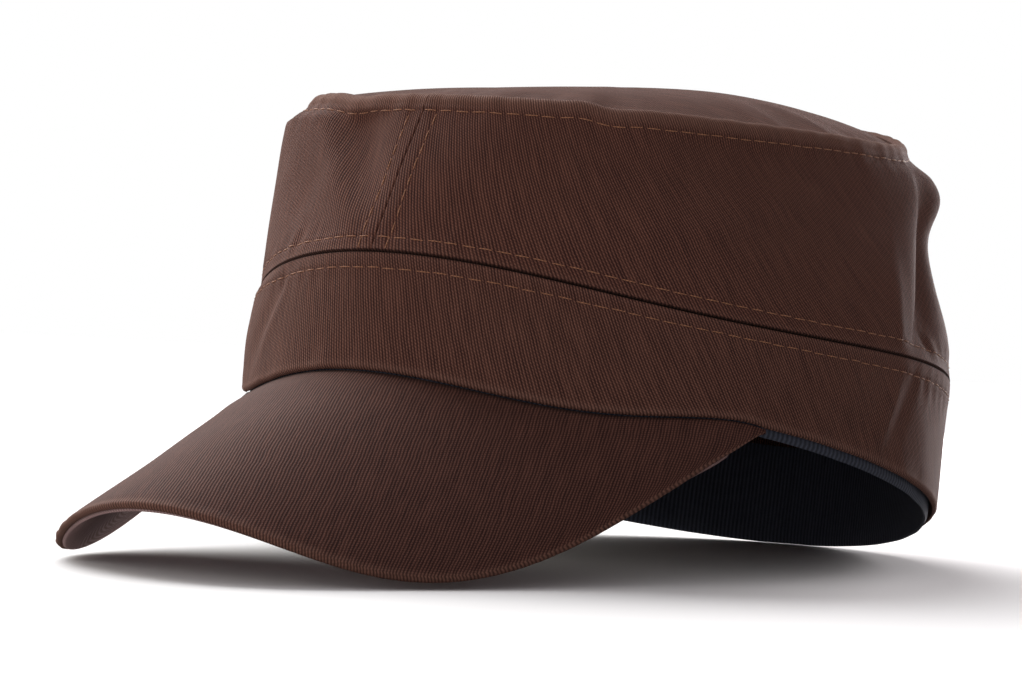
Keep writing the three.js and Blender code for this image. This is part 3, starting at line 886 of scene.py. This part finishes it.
left, right = (np.stack((grid, facing_out(grid))) for grid in (left_points, right_points))
strip = np.stack((band_points, facing_out(band_points, ring=True)))
first, last = STITCH_STEP, -1 - STITCH_STEP
wall_end = len(NEAR_SEAM) + MIDDLE_ROWS + len(NEAR_RIM)
rim_row = wall_end - 1 - int(np.argmin(np.abs(NEAR_RIM - RIM_STITCH)))
wall = slice(2, wall_end)
inside = slice(6, -3)
thread_rows = [
    sew("stitches_above_seam", (right[:, :, first], left[:, :, first]), 51),
    sew("stitches_below_seam", (strip[:, :, last],), 52),
    sew("stitches_rim", (right[:, :, rim_row], left[:, :, rim_row]), 53),
    sew("stitches_front_seam", (left[:, first, wall], right[:, last, wall]), 54),
    sew("stitches_back_seam", (left[:, last, wall], right[:, first, wall]), 55),
    sew("stitches_band_seam", (strip[:, first, inside], strip[:, last, inside]), 56),
]

# %% [markdown]
# ## Materials
#
# Twill is woven so that its threads step sideways in each row, which makes fine leaning ribs, the
# wales. At this distance a wale is a few pixels wide: it needs both a colour, light on the rib and dark
# in the furrow, and a bump. The pattern runs on the cloth's own UV map in metres, so it bends with the
# folds. One shader group makes it and is placed in each cloth's material with its own colours.

# %% Helpers for node trees
def wire(tree, node, values):
    """Link or set a node's sockets, each given by its name or number."""
    for key, value in values.items():
        if isinstance(value, bpy.types.NodeSocket):
            tree.links.new(value, node.inputs[key])
        else:
            node.inputs[key].default_value = value


def new_node(tree, kind, *terms):
    node = tree.nodes.new(kind)
    wire(tree, node, dict(enumerate(terms)))
    return node


def maths(tree, operation, *terms):
    node = new_node(tree, "ShaderNodeMath", *terms)
    node.operation = operation
    return node.outputs[0]


def mixed(tree, share, first, second, kind="MIX"):
    node = tree.nodes.new("ShaderNodeMix")
    node.data_type = "RGBA"
    node.blend_type = kind
    wire(tree, node, {0: share, 6: first, 7: second})
    return node.outputs[2]


def noise(tree, place, scale, detail=2.0, rough=0.5):
    node = tree.nodes.new("ShaderNodeTexNoise")
    wire(tree, node, {"Vector": place, "Scale": scale, "Detail": detail, "Roughness": rough})
    return node.outputs[0]


def new_group(name, inputs, outputs):
    group = bpy.data.node_groups.new(name, "ShaderNodeTree")
    for way, sockets in (("INPUT", inputs), ("OUTPUT", outputs)):
        for label, kind in sockets.items():
            group.interface.new_socket(label, in_out=way, socket_type="NodeSocket" + kind)
    start = group.nodes.new("NodeGroupInput")
    end = group.nodes.new("NodeGroupOutput")
    return group, start.outputs, end


def paint(red, green, blue):
    """A colour as seen on screen, 0 to 255, as the linear values that shaders use."""
    return tuple(((c / 255 + 0.055) / 1.055) ** 2.4 if c > 10 else c / 255 / 12.92
                 for c in (red, green, blue)) + (1.0,)


def swing(tree, count):
    """A wave between 0 and 1 that comes round once for every whole count."""
    wave = maths(tree, "COSINE", maths(tree, "MULTIPLY", count, math.tau))
    return maths(tree, "ADD", maths(tree, "MULTIPLY", wave, 0.5), 0.5)


def in_mm(tree, vector):
    """A UV map in metres as a vector in mm, and its first two numbers."""
    scaled = tree.nodes.new("ShaderNodeVectorMath")
    scaled.operation = "SCALE"
    wire(tree, scaled, {0: vector, "Scale": 1000})
    apart = new_node(tree, "ShaderNodeSeparateXYZ", scaled.outputs[0])
    return scaled.outputs[0], apart.outputs[0], apart.outputs[1]


print("a mid brown in linear values:", [round(c, 3) for c in paint(90, 62, 55)])

# %% The twill group
FLOAT_LENGTH = 0.74
# the colour of the painted shade deep in the seams and under the peak's hem
PAINTED_SEAM_SHADE = (26, 14, 13)


def twill_group():
    tree, given, end = new_group(
        "twill_weave", {"Vector": "Vector", "Wear_And_Painted_Shade": "Float", "Pitch": "Float", "Ridge": "Color",
                        "Furrow": "Color", "Faded": "Color"},
        {"Color": "Color", "Height": "Float", "Roughness": "Float"})
    add = lambda a, b: maths(tree, "ADD", a, b)
    times = lambda a, b: maths(tree, "MULTIPLY", a, b)
    around_zero = lambda value, size: times(maths(tree, "SUBTRACT", value, 0.5), size)
    _, across, along = in_mm(tree, given["Vector"])
    place = new_node(tree, "ShaderNodeCombineXYZ", across, along).outputs[0]
    wander = around_zero(noise(tree, place, 0.09, 2.0), 0.8)
    wander = add(wander, around_zero(noise(tree, place, 0.9, 1.0), 0.2))
    count = maths(tree, "DIVIDE", add(across, wander), given["Pitch"])
    wale = swing(tree, count)
    floats = swing(tree, add(maths(tree, "DIVIDE", along, FLOAT_LENGTH), times(count, 0.5)))
    drawn_out = new_node(tree, "ShaderNodeCombineXYZ", times(across, 1.1), times(along, 0.09))
    slub = noise(tree, drawn_out.outputs[0], 1.0, 3.0, 0.6)
    mottle = noise(tree, place, 0.055, 3.0, 0.55)
    fuzz = noise(tree, place, 3.2, 2.0, 0.7)
    shade = times(wale, add(times(floats, 0.62), 0.4))
    shade = add(add(shade, around_zero(slub, 0.8)), around_zero(fuzz, 0.9))
    shade = maths(tree, "MINIMUM", maths(tree, "MAXIMUM", shade, 0.0), 1.0)
    colour = mixed(tree, shade, given["Furrow"], given["Ridge"])
    surface_marks = times(maths(tree, "MAXIMUM", given["Wear_And_Painted_Shade"], 0.0), add(times(wale, 0.5), 0.2))
    colour = mixed(tree, surface_marks, colour, given["Faded"])
    # painted shade: where the attribute is below 0, deep in a seam or under the hem, the colour darkens
    # towards the seam shade colour
    deep = maths(tree, "MAXIMUM", times(given["Wear_And_Painted_Shade"], -1.0), 0.0)
    colour = mixed(tree, deep, colour, paint(*PAINTED_SEAM_SHADE))
    colour = mixed(tree, times(mottle, 0.35), colour, (0.72, 0.58, 0.55, 1.0), "MULTIPLY")
    height = add(times(wale, add(times(floats, 0.3), 0.7)), times(fuzz, 0.25))
    rough = maths(tree, "SUBTRACT", 0.93, times(wale, 0.1))
    wire(tree, end, {"Color": colour, "Height": height, "Roughness": rough})
    return tree


weave_nodes = twill_group()
print("the weave group has", len(weave_nodes.nodes), "nodes")

# %% The cloth materials
def new_material(name):
    material = bpy.data.materials.new(name)
    material.use_nodes = True
    return material, material.node_tree, material.node_tree.nodes["Principled BSDF"]


def woven_material(name, weave, pitch, colours, bump, strength, settings):
    """A material of one weave group. colours and settings go by the names of the sockets they set."""
    material, tree, shader = new_material(name)
    group = tree.nodes.new("ShaderNodeGroup")
    group.node_tree = weave
    place = tree.nodes.new("ShaderNodeUVMap")
    place.uv_map = "UVMap"
    painted = {label: paint(*colour) for label, colour in colours.items()}
    wire(tree, group, {"Vector": place.outputs[0], "Pitch": pitch, **painted})
    grain = tree.nodes.new("ShaderNodeBump")
    wire(tree, grain, {"Strength": strength, "Distance": bump, "Height": group.outputs["Height"]})
    wire(tree, shader, {"Normal": grain.outputs[0], "Base Color": group.outputs["Color"], **settings})
    return material, tree, group, shader


def twill_material(name, ridge, furrow, faded, pitch=0.8, bump=0.0002):
    colours = {"Ridge": ridge, "Furrow": furrow, "Faded": faded}
    settings = {"Specular IOR Level": 0.18, "Sheen Weight": 0.04, "Sheen Roughness": 0.45,
                "Sheen Tint": paint(226, 176, 150)}
    material, tree, group, shader = woven_material(
        name, weave_nodes, pitch, colours, bump, 0.8, settings)
    # this attribute brings wear, above 0, and painted shade, below 0, into the weave group
    surface_marks = tree.nodes.new("ShaderNodeAttribute")
    surface_marks.attribute_name = "wear_and_seam_shade"
    wire(tree, group, {"Wear_And_Painted_Shade": surface_marks.outputs["Fac"]})
    wire(tree, shader, {"Roughness": group.outputs["Roughness"]})
    return material


def dress(piece, material):
    piece.data.materials.clear()
    piece.data.materials.append(material)
    print(piece.name, "wears", material.name)


crown_twill = twill_material("twill_crown", (132, 88, 73), (53, 30, 27), (158, 120, 104))
band_twill = twill_material("twill_band", (137, 94, 79), (53, 31, 28), (158, 120, 106))
# the peak wears a darker copy of the same twill, as painted shade
peak_twill = twill_material("twill_peak", (114, 75, 64), (48, 27, 24), (152, 114, 98),
                            pitch=0.7, bump=0.00012)
# the facing wears a pale copy of the brown twill, as painted light from the bright table below the peak
facing_painted_light_twill = twill_material("twill_facing_painted_light", (208, 178, 175), (150, 118, 117), (200, 170, 166))
for piece, material in ((crown_left, crown_twill), (crown_right, crown_twill), (top, crown_twill),
                        (band, band_twill), (peak, peak_twill), (facing, facing_painted_light_twill)):
    dress(piece, material)

# %% [markdown]
# ## Thread and tape
#
# The sewing thread is one shade lighter and more orange than the cloth and a little glossy, because it
# is smooth and tightly twisted. The sweatband is a black ribbed tape.

# %% Thread and tape materials
def rib_group():
    tree, given, end = new_group(
        "fine_ribs", {"Vector": "Vector", "Pitch": "Float", "Light": "Color", "Dark": "Color"},
        {"Color": "Color", "Height": "Float"})
    place, across, _ = in_mm(tree, given["Vector"])
    rib = swing(tree, maths(tree, "DIVIDE", across, given["Pitch"]))
    fuzz = noise(tree, place, 1.6, 2.0, 0.6)
    shade = maths(tree, "ADD", maths(tree, "MULTIPLY", rib, 0.6), maths(tree, "MULTIPLY", fuzz, 0.4))
    wire(tree, end, {"Color": mixed(tree, shade, given["Dark"], given["Light"]), "Height": shade})
    return tree


rib_nodes = rib_group()


def ribbed_material(name, pitch, light, dark, rough, bump, sheen):
    settings = {"Roughness": rough, "Specular IOR Level": 0.25, "Sheen Weight": sheen}
    colours = {"Light": light, "Dark": dark}
    return woven_material(name, rib_nodes, pitch, colours, bump, 0.7, settings)[0]


thread = ribbed_material("thread_brown", 0.8, (186, 130, 96), (118, 78, 57), 0.6, 0.0001, 0.05)
tape = ribbed_material("tape_black", 1.3, (78, 82, 96), (28, 30, 38), 0.85, 0.0003, 0.04)
for stitches in thread_rows:
    dress(stitches, thread)
dress(sweatband, tape)

# %% [markdown]
# ## Table, light and camera
#
# The cap lies on a wide white table in a bright, soft studio. Most of the light comes from behind and
# from both sides, so the near side stays dark and the edges glow. A weak light from the front left and
# a low one in front keep the folds readable. The camera stands just above the level of the table,
# turned towards the wearer's left of the front, and its place and lens were fitted to the photograph.

# %% The table
bpy.ops.object.select_all(action="DESELECT")
bpy.ops.mesh.primitive_plane_add(size=12, location=(0, 0, -0.0001))
table = bpy.context.object
table.name = "table"
table_paint, tree, shader = new_material("table_white")
place = tree.nodes.new("ShaderNodeTexCoord").outputs["Object"]
pale = mixed(tree, noise(tree, place, 3.0), (0.95, 0.95, 0.955, 1), (0.98, 0.98, 0.98, 1))
ray = tree.nodes.new("ShaderNodeLightPath").outputs["Is Camera Ray"]
# the table throws less light back on the cap than it seems to
cover = mixed(tree, ray, (0.4, 0.4, 0.4, 1), pale)
wire(tree, shader, {"Base Color": cover, "Roughness": 0.9, "Specular IOR Level": 0.1})
table.data.materials.append(table_paint)
print("table laid")

# %% The world and the lights
world = bpy.data.worlds.new("studio")
bpy.context.scene.world = world
world.use_nodes = True
tree = world.node_tree
glow = tree.nodes["Background"]
backdrop = tree.nodes.new("ShaderNodeBackground")
wire(tree, glow, {"Color": (1.0, 0.95, 0.97, 1), "Strength": 0.31})
wire(tree, backdrop, {"Color": (1, 1, 1, 1), "Strength": 1.0})
seen = tree.nodes.new("ShaderNodeLightPath").outputs["Is Camera Ray"]
choose = new_node(tree, "ShaderNodeMixShader", seen, glow.outputs[0], backdrop.outputs[0])
wire(tree, tree.nodes["World Output"], {0: choose.outputs[0]})

# the turn of the camera round the cap, because the lamps are placed as it sees them
VIEW_TURN = math.radians(33.6)
TO_CAMERA = Vector((math.sin(VIEW_TURN), -math.cos(VIEW_TURN), 0))
TO_RIGHT = Vector((math.cos(VIEW_TURN), math.sin(VIEW_TURN), 0))
CAP_MIDDLE = Vector((0, 0, 0.06))


def add_lamp(name, kind, place, power, colour):
    """A lamp aimed at the cap. Its place is in metres to the right, towards the camera and up."""
    data = bpy.data.lights.new(name, kind)
    data.energy = power
    data.color = colour
    lamp = bpy.data.objects.new(name, data)
    bpy.context.collection.objects.link(lamp)
    right, near, up = place
    lamp.location = CAP_MIDDLE + TO_RIGHT * right + TO_CAMERA * near + Vector((0, 0, up))
    lamp.rotation_euler = (lamp.location - CAP_MIDDLE).to_track_quat("Z", "Y").to_euler()
    print(name, [round(c, 2) for c in lamp.location])
    return data


# a soft sun, because its light is as strong on the far table as on the cap
sun = add_lamp("light_top_back", "SUN", (-0.6, -1.05, 1.0), 3.7, (1, 1, 1))
sun.angle = math.radians(50)
for name, place, size, power, colour in (
    ("light_left", (-1.2, -0.75, 0.4), 0.6, 6.5, (1.0, 0.95, 0.86)),
    ("light_front_left", (-0.95, 0.85, 0.3), 0.8, 3.6, (1.0, 0.97, 0.95)),
    ("light_low_front", (-0.2, 1.1, -0.02), 0.5, 1.2, (1.0, 0.95, 0.97)),
    ("light_right_back", (0.7, -1.35, 0.1), 0.5, 27, (1.0, 0.95, 0.96)),
):
    panel = add_lamp(name, "AREA", place, power, colour)
    panel.shape = "SQUARE"
    panel.size = size

# %% The camera
camera_data = bpy.data.cameras.new("camera")
camera = bpy.data.objects.new("camera", camera_data)
bpy.context.collection.objects.link(camera)
# the picture's size and the place in it of the crown seam's middle in pixels, SCALE in pixels for a mm
# there, DISTANCE in mm
PICTURE_WIDTH, PICTURE_HEIGHT = 1022, 681
CENTRE_X, CENTRE_Y = 609.685, 348.811
SCALE, DISTANCE = 4.007, 850
SENSOR = 36
azimuth, elevation, roll = np.radians((34, -8.425, 8.327))
reach = math.cos(elevation)
back_axis = np.array((math.sin(azimuth) * reach, -math.cos(azimuth) * reach, math.sin(elevation)))
level = np.array((math.cos(azimuth), math.sin(azimuth), 0))
upright_axis = np.cross(back_axis, level)
right_axis = math.cos(roll) * level + math.sin(roll) * upright_axis
up_axis = math.cos(roll) * upright_axis - math.sin(roll) * level
off_x = (CENTRE_X - PICTURE_WIDTH / 2) / SCALE
off_y = (PICTURE_HEIGHT / 2 - CENTRE_Y) / SCALE
stand = back_axis * DISTANCE - right_axis * off_x - up_axis * off_y
axes = [turned(a) for a in (right_axis, up_axis, back_axis)]
placed = Matrix(np.stack(axes, axis=1).tolist()).to_4x4()
rest = (turned(stand) + (0, REST_SHIFT, REST_LIFT)) * MM
camera.matrix_world = Matrix.Translation(Vector([float(c) for c in rest])) @ placed
camera_data.sensor_width = SENSOR
camera_data.lens = SENSOR * SCALE * DISTANCE / PICTURE_WIDTH
camera_data.clip_start = 0.02
bpy.context.scene.camera = camera
bpy.context.scene.view_settings.view_transform = "Standard"
print("camera at", [round(float(c), 3) for c in rest], "lens", round(camera_data.lens, 1))
